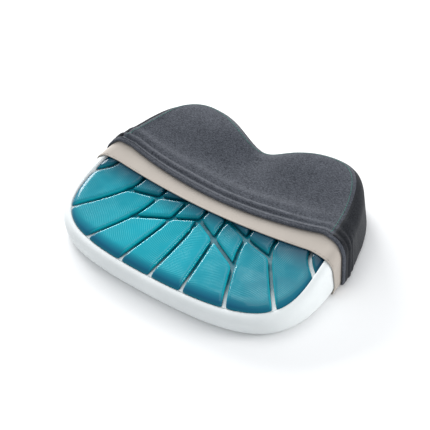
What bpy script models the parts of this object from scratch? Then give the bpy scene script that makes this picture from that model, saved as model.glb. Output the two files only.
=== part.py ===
"""Gel seat cushion with a foam base, loose gel cells and two fabric covers drawn back over its rear half.

Frame: +X right, -Y front, +Y the rear lobes and the tailbone notch, +Z up, metres.
The origin is the middle of the whole object's box on the surface that it lies on.
"""
import math

import bmesh
import bpy
from mathutils import Vector
from mathutils.geometry import interpolate_bezier

# Plan of the foam base
FOAM_WIDTH = 0.450
FOAM_DEPTH = 0.3142
WIDEST_Y = -0.0428          # widest section, from the middle of the foam
LOBE_X = 0.1207             # rearmost point of each lobe
NOTCH_DEPTH = 0.0269        # tailbone notch, in from the lobes

# Handle lengths of the outline's curves
FRONT_HANDLE = 0.1489
SIDE_FRONT_HANDLE = 0.0983
SIDE_REAR_HANDLE = 0.0779
LOBE_OUTER_HANDLE = 0.0779
LOBE_INNER_HANDLE = 0.0548
NOTCH_HANDLE = 0.0492

# Heights of the gel's top, each as (share of the foam's depth from the front, height)
SIDE_HEIGHTS = ((0.0, 0.0400), (0.25, 0.0450), (0.5, 0.0590), (0.75, 0.0685), (1.0, 0.0766))
MIDDLE_HEIGHTS = ((0.0, 0.0385), (0.28, 0.0425), (0.41, 0.0480), (0.5, 0.0498), (0.68, 0.0500),
                  (0.83, 0.0535), (0.92, 0.0587), (1.0, 0.0587))
DISH_POWER = 1.7            # how sharply the dish turns up towards the sides
NOTCH_BLEND_WIDTH = 0.041   # half width of the low saddle in front of the notch
NOTCH_BLEND_START = 0.70    # shares of the depth between which the saddle takes over from the dish
NOTCH_BLEND_END = 0.92
LEAST_DISH_SHARE = 0.5      # the dish's least half width, as a share of LOBE_X
FRONT_PROUD = 0.0075        # gel above the rim at the front
SIDE_PROUD = 0.0008         # gel above the rim at the sides and the rear
PROUD_START = 0.10          # shares of the depth between which the rim rises to SIDE_PROUD below the gel
PROUD_END = 0.46

# Foam base
TOP_ROUND = 0.012
BOTTOM_ROUND = 0.012
ROUND_STEPS = 3

# Gel
GEL_INSET = 0.0137          # gel's edge in from the foam's outline
CELL_HEIGHT = 0.0080
CHANNEL_WIDTH = 0.0055
WEB_THICKNESS = 0.0015
WEB_INSET = 0.0150          # web's edge in from the gel's edge

# Fabric
LINER_THICKNESS = 0.0012
COVER_THICKNESS = 0.0018
PANEL_THICKNESS = 0.0012
LINER_HEM_RADIUS = 0.0011
COVER_HEM_RADIUS = 0.0022
LINER_MOUTH_Y = -0.0085     # front edge of the liner, on the middle line
LINER_MOUTH_BOW = 0.10      # how far the edge runs back towards the sides, per square metre
LINER_SIDE_LEAN = 0.004     # how far it comes forward again on the side wall
COVER_MOUTH_Y = 0.0140
COVER_MOUTH_BOW = 0.50
COVER_SIDE_LEAN = 0.029
LEAN_REACH = 0.037          # width over which an edge leans forward, in from the foam's side
SEAM_SHARE = 0.30           # panel seam, as a share of the turn from the top to the side
STITCH_RADIUS = 0.0003
STITCH_INSET = 0.0030       # topstitch, in from the panel's edge

# Fits
TOUCH = 0.0003              # between pieces that touch
SLIP = 0.0005               # between a fabric layer and what it is drawn over
WEB_SEAT_GAP = 3 * TOUCH    # under the web, whose facets and the foam's differ a little
HEM_GAP = 0.0012            # between a rolled hem and the edge that it finishes
HEM_LIFT = 0.0010           # hem's underside over the inside of its own fabric

# Mesh
SEGMENT_POINTS = 8          # points on each of the outline's six curves
SHARES = (0.78, 0.52, 0.26)  # rings between the web's edge and the middle
ON_EDGE = 0.0001            # a point this close to the mouth line is on it
CENTRE_SHIFT = 0.008        # middle of the rings, forward of the foam's own middle
CUTTER_REACH = 1.2          # a cutter's width, as a share of the foam's
FLAT_ANGLE = 0.01           # faces that meet at less than this are one

# Everything between the foam and the outside of the outer cover
LINER_OFFSET = SLIP
COVER_OFFSET = LINER_OFFSET + LINER_THICKNESS + SLIP
STACK = COVER_OFFSET + COVER_THICKNESS

FRONT_Y = -(FOAM_DEPTH + STACK) / 2
REAR_Y = FRONT_Y + FOAM_DEPTH
MIDDLE_Y = (FRONT_Y + REAR_Y) / 2
HALF_WIDTH = FOAM_WIDTH / 2
CENTRE = Vector((0.0, MIDDLE_Y - CENTRE_SHIFT, 0.0))

COVER_PANEL_TOP = PANEL_THICKNESS
LINER_PANEL_BASE = COVER_PANEL_TOP + TOUCH
LINER_PANEL_TOP = LINER_PANEL_BASE + PANEL_THICKNESS
FOAM_RECESS = LINER_PANEL_TOP + TOUCH
LINER_BASE = LINER_PANEL_TOP + TOUCH
COVER_BASE = COVER_PANEL_TOP + TOUCH
LINER_MOUTH = (LINER_MOUTH_Y, LINER_MOUTH_BOW, LINER_SIDE_LEAN)
COVER_MOUTH = (COVER_MOUTH_Y, COVER_MOUTH_BOW, COVER_SIDE_LEAN)
HINGE = Vector((0.0, REAR_Y + STACK, 0.0))

# Channels between the gel cells on the right half, as shares of half the width and half the depth
SPOKES = (
    ((0.0, -1.1), (0.0, 1.1)),
    ((0.265, -1.03), (0.258, -0.904), (0.182, -0.286), (0.167, -0.044), (0.170, 0.30), (0.205, 0.56),
     (0.275, 0.92), (0.295, 1.05)),
    ((0.650, -0.97), (0.580, -0.853), (0.431, -0.445), (0.369, -0.140), (0.365, 0.34), (0.450, 0.66),
     (0.545, 0.95), (0.580, 1.08)),
    ((0.965, -0.75), (0.853, -0.634), (0.604, -0.216), (0.560, -0.012), (0.567, 0.14), (0.600, 0.37),
     (0.700, 0.56), (0.820, 0.75), (0.920, 0.90)),
    ((1.045, -0.29), (0.934, -0.197), (0.830, -0.055), (0.808, 0.12), (0.850, 0.30), (1.000, 0.48)),
)
CHEVRONS = (
    ((0.0, -0.172), (0.182, -0.286), (0.431, -0.445)),
    ((0.0, 0.051), (0.167, -0.044), (0.369, -0.140), (0.604, -0.216)),
    ((0.0, 0.270), (0.170, 0.300), (0.365, 0.340), (0.600, 0.370)),
    ((0.0, 0.500), (0.205, 0.560), (0.450, 0.660)),
    ((0.567, 0.140), (0.808, 0.120)),
)

FOAM_COLOUR = (0.80, 0.83, 0.83)
GEL_COLOUR = (0.01, 0.28, 0.36)
LINER_COLOUR = (0.44, 0.40, 0.35)
KNIT_COLOUR = (0.075, 0.083, 0.100)
THREAD_COLOUR = (0.02, 0.33, 0.25)


def clear_scene():
    for thing in list(bpy.data.objects):
        bpy.data.objects.remove(thing, do_unlink=True)


def new_collection(name):
    collection = bpy.data.collections.new(name)
    bpy.context.scene.collection.children.link(collection)
    return collection


def new_material(name, colour, roughness):
    material = bpy.data.materials.new(name)
    material.use_nodes = True
    shader = material.node_tree.nodes["Principled BSDF"]
    shader.inputs["Base Color"].default_value = (*colour, 1.0)
    shader.inputs["Roughness"].default_value = roughness
    return material


def new_object(name, bm, collection, material=None):
    mesh = bpy.data.meshes.new(name)
    bm.to_mesh(mesh)
    bm.free()
    thing = bpy.data.objects.new(name, mesh)
    collection.objects.link(thing)
    if material:
        mesh.materials.append(material)
    return thing


def as_cutter(thing):
    thing.hide_render = True
    thing.display_type = "WIRE"
    return thing


# ---- plan and heights ----

def half_outline():
    """Right half of the foam's outline, from the middle of the front round to the notch."""
    front = Vector((0.0, FRONT_Y, 0.0))
    side = Vector((HALF_WIDTH, MIDDLE_Y + WIDEST_Y, 0.0))
    lobe = Vector((LOBE_X, REAR_Y, 0.0))
    notch = Vector((0.0, REAR_Y - NOTCH_DEPTH, 0.0))
    along_x = Vector((1.0, 0.0, 0.0))
    along_y = Vector((0.0, 1.0, 0.0))
    curves = (
        (front, front + along_x * FRONT_HANDLE, side - along_y * SIDE_FRONT_HANDLE, side),
        (side, side + along_y * SIDE_REAR_HANDLE, lobe + along_x * LOBE_OUTER_HANDLE, lobe),
        (lobe, lobe - along_x * LOBE_INNER_HANDLE, notch + along_x * NOTCH_HANDLE, notch),
    )
    points = []
    for curve in curves:
        points += interpolate_bezier(*curve, SEGMENT_POINTS + 1)[:-1]
    return points + [notch]


def foam_outline():
    """Whole outline, anticlockwise from the middle of the front."""
    right = half_outline()
    left = [Vector((-point.x, point.y, 0.0)) for point in reversed(right[1:-1])]
    return right + left


OUTLINE = foam_outline()


def moved_outline(distance):
    """The outline moved outwards by a distance, or inwards by a negative one."""
    count = len(OUTLINE)
    moved = []
    for index, point in enumerate(OUTLINE):
        along = OUTLINE[(index + 1) % count] - OUTLINE[index - 1]
        outwards = Vector((along.y, -along.x, 0.0)).normalized()
        moved.append(point + outwards * distance)
    return moved


def scaled_ring(ring, share):
    return [CENTRE + (point - CENTRE) * share for point in ring]


def read_heights(table, share):
    """Height on a smooth line through a table's points."""
    share = min(max(share, table[0][0]), table[-1][0])
    slopes = []
    for index in range(len(table)):
        before = table[max(index - 1, 0)]
        after = table[min(index + 1, len(table) - 1)]
        slopes.append((after[1] - before[1]) / (after[0] - before[0]))
    for index in range(len(table) - 1):
        start, end = table[index], table[index + 1]
        if share <= end[0]:
            span = end[0] - start[0]
            t = (share - start[0]) / span
            return ((2 * t ** 3 - 3 * t ** 2 + 1) * start[1] + (t ** 3 - 2 * t ** 2 + t) * span * slopes[index]
                    + (3 * t ** 2 - 2 * t ** 3) * end[1] + (t ** 3 - t ** 2) * span * slopes[index + 1])
    return table[-1][1]


def smooth_step(value, start, end):
    t = min(max((value - start) / (end - start), 0.0), 1.0)
    return t * t * (3 - 2 * t)


def depth_share(y):
    return min(max((y - FRONT_Y) / FOAM_DEPTH, 0.0), 1.0)


def half_width_at(y):
    """Half the foam's width on a line across it."""
    widest = 0.0
    right = half_outline()
    for start, end in zip(right, right[1:]):
        if (start.y - y) * (end.y - y) <= 0 and start.y != end.y:
            t = (y - start.y) / (end.y - start.y)
            widest = max(widest, start.x + (end.x - start.x) * t)
    return max(widest, LOBE_X * LEAST_DISH_SHARE)


def notch_share(x):
    """1 on the middle line, falling away over the saddle's half width."""
    return math.exp(-(x / NOTCH_BLEND_WIDTH) ** 2)


def gel_height(point):
    """Top of the gel cells: a dish that slopes down to the front."""
    share = depth_share(point.y)
    middle = read_heights(MIDDLE_HEIGHTS, share)
    edge = read_heights(SIDE_HEIGHTS, share)
    out = min(abs(point.x) / half_width_at(point.y), 1.0) ** DISH_POWER
    saddle = smooth_step(share, NOTCH_BLEND_START, NOTCH_BLEND_END)
    weight = out * (1 - saddle) + (1 - notch_share(point.x)) * saddle
    return middle + (edge - middle) * weight


def rim_heights():
    """Top of the foam's rim beside each point of the outline: below the gel's edge by what the gel stands proud."""
    heights = []
    for point in moved_outline(-GEL_INSET):
        sunk = smooth_step(depth_share(point.y), PROUD_START, PROUD_END)
        heights.append(gel_height(point) - FRONT_PROUD - (SIDE_PROUD - FRONT_PROUD) * sunk)
    return heights


RIM = rim_heights()


# ---- meshes from rings ----

def ring_of_verts(bm, points, height):
    """One closed ring; height is a number, a list with one for each point, or a function of the point."""
    verts = []
    for index, point in enumerate(points):
        if callable(height):
            z = height(point)
        elif isinstance(height, list):
            z = height[index]
        else:
            z = height
        verts.append(bm.verts.new((point.x, point.y, z)))
    return verts


def rim_ring(bm, distance, lift):
    """A ring beside the rim, at a distance from the outline and a height over the rim's top."""
    return ring_of_verts(bm, moved_outline(distance), [height + lift for height in RIM])


def bridge(bm, lower, upper, outwards=False):
    """A band of triangles between two rings.

    Its diagonals mirror each other across the middle line, and match those of the surface that it faces.
    """
    count = len(lower)
    for index in range(count):
        after = (index + 1) % count
        on_left = index >= count // 2
        if outwards != on_left:
            bm.faces.new((lower[index], lower[after], upper[index]))
            bm.faces.new((lower[after], upper[after], upper[index]))
        else:
            bm.faces.new((lower[index], lower[after], upper[after]))
            bm.faces.new((lower[index], upper[after], upper[index]))


def close_ring(bm, ring, height, upwards=True):
    """A fan of triangles from a ring to the middle point."""
    z = height(CENTRE) if callable(height) else height
    middle = bm.verts.new((CENTRE.x, CENTRE.y, z))
    for index in range(len(ring)):
        pair = (ring[index], ring[(index + 1) % len(ring)])
        bm.faces.new((*pair, middle) if upwards else (pair[1], pair[0], middle))


def loft(bm, rings, outwards=False):
    for lower, upper in zip(rings, rings[1:]):
        bridge(bm, lower, upper, outwards)


def loft_slab(bm, bottom, top):
    """Closes a slab whose two sides are rings in order from the edge to the middle."""
    loft(bm, list(reversed(bottom)), outwards=True)
    bridge(bm, bottom[0], top[0])
    loft(bm, top)


def shifted(height, distance):
    return lambda point: height(point) + distance


def gel_rings(bm, distance):
    """Rings under or over the gel from the web's edge to the middle, a fixed distance from its top."""
    web_edge = moved_outline(-GEL_INSET - WEB_INSET)
    height = shifted(gel_height, distance)
    rings = [ring_of_verts(bm, web_edge, height)]
    for share in SHARES:
        rings.append(ring_of_verts(bm, scaled_ring(web_edge, share), height))
    return rings


def quarter_turn(radius, steps):
    """Offsets in and up along a quarter circle, from the side to the top."""
    for step in range(steps + 1):
        turn = math.pi / 2 * step / steps
        yield radius * (1 - math.cos(turn)), radius * math.sin(turn)


# ---- pieces ----

def make_foam(collection, cutters, material):
    """Foam base with rounded rims, a seat for the gel cells and a shallower one for their web."""
    bm = bmesh.new()
    rings = []
    for inwards, down in reversed(list(quarter_turn(BOTTOM_ROUND, ROUND_STEPS))):
        rings.append(ring_of_verts(bm, moved_outline(-inwards), BOTTOM_ROUND - down))
    for inwards, up in quarter_turn(TOP_ROUND, ROUND_STEPS):
        rings.append(rim_ring(bm, -inwards, up - TOP_ROUND))
    cell_seat = shifted(gel_height, -CELL_HEIGHT - TOUCH)
    cell_wall = moved_outline(-GEL_INSET + TOUCH)
    web_wall = moved_outline(-GEL_INSET - WEB_INSET + TOUCH)
    web_seat = shifted(gel_height, -CELL_HEIGHT - WEB_THICKNESS - WEB_SEAT_GAP)
    rings.append(ring_of_verts(bm, cell_wall, RIM))
    rings.append(ring_of_verts(bm, moved_outline(-GEL_INSET), cell_seat))
    rings.append(ring_of_verts(bm, web_wall, cell_seat))
    rings += gel_rings(bm, -CELL_HEIGHT - WEB_THICKNESS - WEB_SEAT_GAP)
    loft(bm, rings)
    close_ring(bm, rings[-1], web_seat)
    close_ring(bm, rings[0], 0.0, upwards=False)
    foam = new_object("foam_base", bm, collection, material)
    recess = as_cutter(make_recess_cutter(cutters))
    cut = foam.modifiers.new("underside recess", "BOOLEAN")
    cut.object = recess
    return foam


def make_recess_cutter(cutters):
    """Block under the rear half, where the two bottom panels lie."""
    front = LINER_MOUTH_Y - LINER_HEM_RADIUS * 2 - SLIP
    rear = REAR_Y + STACK * 2
    bm = bmesh.new()
    bmesh.ops.create_cube(bm, size=1.0)
    size = Vector((FOAM_WIDTH * CUTTER_REACH, rear - front, FOAM_RECESS * 2))
    bmesh.ops.scale(bm, vec=size, verts=bm.verts)
    bmesh.ops.translate(bm, vec=(0.0, (front + rear) / 2, 0.0), verts=bm.verts)
    return new_object("recess_cutter", bm, cutters)


def make_web(collection, material):
    """Thin sheet of gel that the cells stand on."""
    bm = bmesh.new()
    bottom = gel_rings(bm, -CELL_HEIGHT - WEB_THICKNESS - TOUCH)
    top = gel_rings(bm, -CELL_HEIGHT - TOUCH)
    loft_slab(bm, bottom, top)
    close_ring(bm, top[-1], shifted(gel_height, -CELL_HEIGHT - TOUCH))
    close_ring(bm, bottom[-1], shifted(gel_height, -CELL_HEIGHT - WEB_THICKNESS - TOUCH), upwards=False)
    return new_object("gel_web", bm, collection, material)


def smooth_path(points, steps):
    """Points along a smooth curve through a few plan points."""
    knots = [Vector((x * HALF_WIDTH, MIDDLE_Y + y * FOAM_DEPTH / 2, 0.0)) for x, y in points]
    path = []
    for index in range(len(knots) - 1):
        before = knots[max(index - 1, 0)]
        start, end = knots[index], knots[index + 1]
        after = knots[min(index + 2, len(knots) - 1)]
        first = start + (end - before) / 6
        second = end - (after - start) / 6
        path += interpolate_bezier(start, first, second, end, steps + 1)[:-1]
    return path + [knots[-1]]


def make_channel_cutter(name, path, cutters):
    """Upright ribbon along a path, thickened to a channel's width."""
    bm = bmesh.new()
    verts = [bm.verts.new(point) for point in path]
    edges = [bm.edges.new(pair) for pair in zip(verts, verts[1:])]
    raised = bmesh.ops.extrude_edge_only(bm, edges=edges)["geom"]
    top = [item for item in raised if isinstance(item, bmesh.types.BMVert)]
    bmesh.ops.translate(bm, vec=(0.0, 0.0, max(height for _, height in SIDE_HEIGHTS) * 2), verts=top)
    ribbon = as_cutter(new_object(name, bm, cutters))
    wall = ribbon.modifiers.new("channel width", "SOLIDIFY")
    wall.thickness = CHANNEL_WIDTH
    wall.offset = 0.0
    return ribbon


def make_channel_cutters():
    """A cutter for each channel, the mirrored ones on the left included."""
    cutters = new_collection("channel cutters")
    for index, points in enumerate(SPOKES + CHEVRONS):
        path = smooth_path(points, 3)
        make_channel_cutter(f"channel_right_{index}", path, cutters)
        if path[-1].x > 0:
            mirrored = [Vector((-point.x, point.y, 0.0)) for point in path]
            make_channel_cutter(f"channel_left_{index}", mirrored, cutters)
    return cutters


def make_gel_slab(cutters, channels):
    """The gel's whole outer form, with every channel cut through it."""
    bm = bmesh.new()
    edge = moved_outline(-GEL_INSET - TOUCH)
    web_wall = moved_outline(-GEL_INSET - WEB_INSET + TOUCH)
    under = shifted(gel_height, -CELL_HEIGHT)
    bottom = [ring_of_verts(bm, edge, under), ring_of_verts(bm, web_wall, under)]
    bottom += gel_rings(bm, -CELL_HEIGHT)
    top = [ring_of_verts(bm, edge, gel_height), ring_of_verts(bm, web_wall, gel_height)]
    top += gel_rings(bm, 0.0)
    loft_slab(bm, bottom, top)
    close_ring(bm, top[-1], gel_height)
    close_ring(bm, bottom[-1], under, upwards=False)
    slab = as_cutter(new_object("gel_slab", bm, cutters))
    cut = slab.modifiers.new("channels", "BOOLEAN")
    cut.operand_type = "COLLECTION"
    cut.collection = channels
    return slab


def split_islands(bm):
    """The separate bodies of a mesh, each as a list of faces."""
    left = set(bm.faces)
    islands = []
    while left:
        island = []
        queue = [left.pop()]
        while queue:
            face = queue.pop()
            island.append(face)
            for edge in face.edges:
                for other in edge.link_faces:
                    if other in left:
                        left.remove(other)
                        queue.append(other)
        islands.append(island)
    return islands


def make_cells(slab, collection, material):
    """A right and a left object for each island of the cut slab's right half, numbered from the front."""
    graph = bpy.context.evaluated_depsgraph_get()
    cut = bmesh.new()
    cut.from_object(slab, graph)
    cells = []
    for island in split_islands(cut):
        corners = list(dict.fromkeys(vert for face in island for vert in face.verts))
        middle = sum((vert.co for vert in corners), Vector()) / len(corners)
        if middle.x > 0:
            cells.append((round(middle.y, 3), middle.x, island, corners))
    cells.sort(key=lambda cell: cell[:2])
    for number, (_, _, island, corners) in enumerate(cells, start=1):
        for side, sign in (("right", 1), ("left", -1)):
            bm = bmesh.new()
            copies = {vert: bm.verts.new((vert.co.x * sign, vert.co.y, vert.co.z)) for vert in corners}
            for face in island:
                bm.faces.new([copies[vert] for vert in face.verts][::sign])
            new_object(f"gel_cell_{side}_{number:02d}", bm, collection, material)
    cut.free()


def fabric_rings(bm, distance, turn_from, turn_to, with_top, wall_base):
    """Rings of a fabric's inner surface, from its lowest edge up to the middle of the top.

    The turn from the side to the top is built between two of its shares, 0 at the side and 1 on top.
    """
    rings = []
    radius = TOP_ROUND + distance
    if wall_base is not None:
        rings.append(ring_of_verts(bm, moved_outline(distance), wall_base))
    for step in range(ROUND_STEPS + 1):
        share = turn_from + (turn_to - turn_from) * step / ROUND_STEPS
        turn = math.pi / 2 * share
        inwards = radius * (1 - math.cos(turn))
        rings.append(rim_ring(bm, distance - inwards, SIDE_PROUD + radius * math.sin(turn) - TOP_ROUND))
    if with_top:
        over = shifted(gel_height, distance)
        web_wall = moved_outline(-GEL_INSET - WEB_INSET + TOUCH)
        rings.append(ring_of_verts(bm, moved_outline(-GEL_INSET - TOUCH), over))
        rings.append(ring_of_verts(bm, web_wall, over))
        rings += gel_rings(bm, distance)
    loft(bm, rings)
    if with_top:
        close_ring(bm, rings[-1], shifted(gel_height, distance))
    return rings


def mouth_y(x, mouth):
    """Front edge of a drawn back cover: bowed towards the rear on top, further forward on the side walls."""
    middle, bow, lean = mouth
    return middle + bow * x * x - lean * smooth_step(abs(x), HALF_WIDTH - LEAN_REACH, HALF_WIDTH)


def cut_mouth(bm, mouth):
    """Removes what lies in front of the mouth line, which is straightened for the cut."""
    for vert in bm.verts:
        vert.co.y -= mouth_y(vert.co.x, mouth)
    bmesh.ops.bisect_plane(bm, geom=bm.verts[:] + bm.edges[:] + bm.faces[:], plane_co=(0.0, 0.0, 0.0),
                           plane_no=(0.0, -1.0, 0.0), dist=0.00001, clear_outer=True)
    for vert in bm.verts:
        vert.co.y += mouth_y(vert.co.x, mouth)


def thicken(thing, thickness):
    """Gives a fabric's inner surface its thickness, outwards."""
    wall = thing.modifiers.new("fabric thickness", "SOLIDIFY")
    wall.thickness = thickness
    wall.offset = 1.0
    return thing


def hang_on_hinge(thing, hinge):
    thing.parent = hinge
    thing.matrix_parent_inverse = hinge.matrix_world.inverted()


def make_shell(name, distance, thickness, turn, with_top, wall_base, mouth, collection, material):
    bm = bmesh.new()
    fabric_rings(bm, distance, turn[0], turn[1], with_top, wall_base)
    cut_mouth(bm, mouth)
    return thicken(new_object(name, bm, collection, material), thickness)


def make_bottom_panel(name, distance, base, mouth, collection, material):
    """Flat panel under the rear half."""
    bm = bmesh.new()
    ring = ring_of_verts(bm, moved_outline(distance), base)
    close_ring(bm, ring, base, upwards=True)
    cut_mouth(bm, mouth)
    bmesh.ops.dissolve_limit(bm, angle_limit=FLAT_ANGLE, verts=bm.verts, edges=bm.edges)
    return thicken(new_object(name, bm, collection, material), PANEL_THICKNESS)


def mouth_profile(distance, mouth, wall_base):
    """Points along a shell's mouth at a distance from the foam and gel, from the left base to the right."""
    bm = bmesh.new()
    fabric_rings(bm, distance, 0.0, 1.0, True, wall_base)
    cut_mouth(bm, mouth)
    edges = [edge for edge in bm.edges if edge.is_boundary
             and all(abs(vert.co.y - mouth_y(vert.co.x, mouth)) < ON_EDGE for vert in edge.verts)]
    links = {}
    for edge in edges:
        for vert in edge.verts:
            links.setdefault(vert, []).append(edge.other_vert(vert))
    vert = min((item for item in links if len(links[item]) == 1), key=lambda item: item.co.x)
    path, seen = [vert.co.copy()], {vert}
    while True:
        onwards = [other for other in links[vert] if other not in seen]
        if not onwards:
            break
        vert = onwards[0]
        seen.add(vert)
        path.append(vert.co.copy())
    bm.free()
    return path


def thin_path(path, spacing):
    """Drops points closer together than a spacing, and keeps both ends."""
    kept = [path[0]]
    for point in path[1:-1]:
        if (point - kept[-1]).length >= spacing and (point - path[-1]).length >= spacing:
            kept.append(point)
    return kept + [path[-1]]


def make_tube(name, path, radius, collection, material):
    """Round tube along a path, with closed ends."""
    curve = bpy.data.curves.new(name, "CURVE")
    curve.dimensions = "3D"
    curve.bevel_depth = radius
    curve.bevel_resolution = 1
    curve.use_fill_caps = True
    spline = curve.splines.new("POLY")
    spline.points.add(len(path) - 1)
    for spot, point in zip(spline.points, path):
        spot.co = (*point, 1.0)
    tube = bpy.data.objects.new(name, curve)
    collection.objects.link(tube)
    curve.materials.append(material)
    return tube


def make_hem(name, distance, radius, mouth, base, collection, material):
    """Rolled hem just in front of a shell's mouth."""
    line = (mouth[0] - radius - HEM_GAP, *mouth[1:])
    path = mouth_profile(distance + radius + HEM_LIFT, line, base + radius)
    return make_tube(name, thin_path(path, radius * 2), radius, collection, material)


def make_topstitch(collection, material):
    """Thread that runs round the top panel just inside its seam."""
    radius = TOP_ROUND + STACK
    turn = math.pi / 2 * SEAM_SHARE + STITCH_INSET / radius
    lift = STITCH_RADIUS + TOUCH * 2
    bm = bmesh.new()
    reach = radius + lift
    inwards = reach * (1 - math.cos(turn))
    verts = rim_ring(bm, STACK + lift - inwards, SIDE_PROUD + reach * math.sin(turn) - TOP_ROUND)
    front = [index for index, vert in enumerate(verts)
             if vert.co.y > mouth_y(vert.co.x, COVER_MOUTH) + STITCH_INSET]
    path = [verts[index].co.copy() for index in front]
    bm.free()
    return make_tube("cover_topstitch", path, STITCH_RADIUS, collection, material)


def main():
    clear_scene()
    parts = new_collection("gel seat cushion")
    cutters = new_collection("cutters")
    foam = new_material("foam", FOAM_COLOUR, 0.6)
    gel = new_material("gel", GEL_COLOUR, 0.15)
    liner = new_material("liner fabric", LINER_COLOUR, 0.8)
    knit = new_material("knit fabric", KNIT_COLOUR, 0.9)
    thread = new_material("topstitch thread", THREAD_COLOUR, 0.6)

    make_foam(parts, cutters, foam)
    make_web(parts, gel)
    slab = make_gel_slab(cutters, make_channel_cutters())
    make_cells(slab, parts, gel)

    hinge = bpy.data.objects.new("rear_seam_line", None)
    hinge.location = HINGE
    parts.objects.link(hinge)
    bpy.context.view_layer.update()

    moving = [
        make_shell("liner_shell", LINER_OFFSET, LINER_THICKNESS, (0.0, 1.0), True, LINER_BASE,
                   LINER_MOUTH, parts, liner),
        make_hem("liner_hem", LINER_OFFSET, LINER_HEM_RADIUS, LINER_MOUTH, LINER_BASE, parts, liner),
        make_shell("cover_top_panel", COVER_OFFSET, COVER_THICKNESS, (SEAM_SHARE, 1.0), True, None,
                   COVER_MOUTH, parts, knit),
        make_shell("cover_side_gusset", COVER_OFFSET, COVER_THICKNESS,
                   (0.0, SEAM_SHARE - TOUCH * 2 / (TOP_ROUND * math.pi / 2)), False, COVER_BASE,
                   COVER_MOUTH, parts, knit),
        make_hem("cover_hem", COVER_OFFSET, COVER_HEM_RADIUS, COVER_MOUTH, COVER_BASE, parts, knit),
        make_topstitch(parts, thread),
    ]
    for piece in moving:
        hang_on_hinge(piece, hinge)

    make_bottom_panel("liner_bottom_panel", LINER_OFFSET + LINER_THICKNESS, LINER_PANEL_BASE,
                      LINER_MOUTH, parts, liner)
    make_bottom_panel("cover_bottom_panel", STACK, 0.0, COVER_MOUTH, parts, knit)


main()
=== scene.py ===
"""Gel seat cushion: foam base with separate gel cells, and a liner and a knit cover drawn back over its rear.

Everything is in metres in the shared frame: +X right, -Y front, +Z up, with the cushion lying on z = 0.
"""
import math

import bmesh
import bpy
import numpy as np
from bpy.props import FloatProperty, FloatVectorProperty, PointerProperty
from mathutils import Matrix, Vector, noise
from mathutils.geometry import interpolate_bezier
from mathutils.kdtree import KDTree


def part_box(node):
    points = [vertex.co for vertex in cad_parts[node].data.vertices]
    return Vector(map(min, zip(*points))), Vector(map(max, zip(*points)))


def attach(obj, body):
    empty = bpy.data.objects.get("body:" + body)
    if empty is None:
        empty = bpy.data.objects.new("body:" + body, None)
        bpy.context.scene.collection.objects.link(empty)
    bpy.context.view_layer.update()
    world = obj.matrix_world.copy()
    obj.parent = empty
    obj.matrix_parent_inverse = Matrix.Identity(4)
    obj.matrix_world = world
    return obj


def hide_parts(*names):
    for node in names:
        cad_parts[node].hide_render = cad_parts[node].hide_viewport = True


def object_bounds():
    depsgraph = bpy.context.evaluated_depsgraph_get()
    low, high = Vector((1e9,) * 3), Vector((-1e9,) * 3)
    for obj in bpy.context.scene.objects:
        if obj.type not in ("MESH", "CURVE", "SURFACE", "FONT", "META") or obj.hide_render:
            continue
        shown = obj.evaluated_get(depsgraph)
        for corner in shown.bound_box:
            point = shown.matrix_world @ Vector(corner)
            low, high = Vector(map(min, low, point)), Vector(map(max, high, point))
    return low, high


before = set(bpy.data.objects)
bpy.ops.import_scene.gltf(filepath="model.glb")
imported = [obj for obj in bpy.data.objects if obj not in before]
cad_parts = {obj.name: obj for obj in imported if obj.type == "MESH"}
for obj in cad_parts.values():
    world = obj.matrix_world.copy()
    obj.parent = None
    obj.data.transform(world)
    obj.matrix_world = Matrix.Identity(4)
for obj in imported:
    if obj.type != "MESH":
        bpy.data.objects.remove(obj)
CAD_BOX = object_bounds()

bl_info = {
    "name": "Gel seat cushion",
    "version": (1, 0, 0),
    "blender": (4, 5, 0),
    "location": "View3D > Sidebar > Cushion",
    "description": "Builds a gel seat cushion with its covers drawn back",
    "category": "Object",
}

# ---- plan of the foam, from the frame and the base's own curves ----

FOAM_LOW, FOAM_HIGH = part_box("foam_base")
HALF_WIDTH = FOAM_HIGH.x
FRONT_Y = FOAM_LOW.y
REAR_Y = FOAM_HIGH.y
FOAM_DEPTH = REAR_Y - FRONT_Y
MIDDLE_Y = (FRONT_Y + REAR_Y) / 2
CENTRE = np.array((0.0, MIDDLE_Y - 0.008))

WIDEST_Y = -0.0428
LOBE_X = 0.1207
NOTCH_DEPTH = 0.0269
FRONT_HANDLE = 0.1489
SIDE_FRONT_HANDLE = 0.0983
SIDE_REAR_HANDLE = 0.0779
LOBE_OUTER_HANDLE = 0.0779
LOBE_INNER_HANDLE = 0.0548
NOTCH_HANDLE = 0.0492

SIDE_HEIGHTS = ((0.0, 0.0400), (0.25, 0.0450), (0.5, 0.0590), (0.75, 0.0685), (1.0, 0.0766))
MIDDLE_HEIGHTS = ((0.0, 0.0385), (0.28, 0.0425), (0.41, 0.0480), (0.5, 0.0498), (0.68, 0.0500),
                  (0.83, 0.0535), (0.92, 0.0587), (1.0, 0.0587))
DISH_POWER = 1.7
NOTCH_BLEND_WIDTH = 0.041
NOTCH_BLEND_START = 0.70
NOTCH_BLEND_END = 0.92
FRONT_PROUD = 0.0075
SIDE_PROUD = 0.0008
PROUD_START = 0.10
PROUD_END = 0.46

ROUND = 0.012               # rounding of the foam's upper and lower edges
GEL_INSET = 0.0137
CELL_HEIGHT = 0.0080
CHANNEL_WIDTH = 0.0055
WEB_THICKNESS = 0.0015
WEB_INSET = 0.0150
TOUCH = 0.0003
FOAM_RECESS = 0.0030        # room under the rear half for the two bottom panels
RECESS_FADE = 0.004
RECESS_TOP = 0.014          # height by which the recess no longer lifts the foam's side

LINER_OFFSET = 0.0005
LINER_THICKNESS = 0.0012
LINER_BASE = 0.0030
COVER_OFFSET = 0.0022
COVER_THICKNESS = 0.0018
COVER_BASE = 0.0015
TUCK_SHARE = 0.55           # how much of the foam's lower rounding the fabric follows
STITCH_INSET = 0.0052

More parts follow.
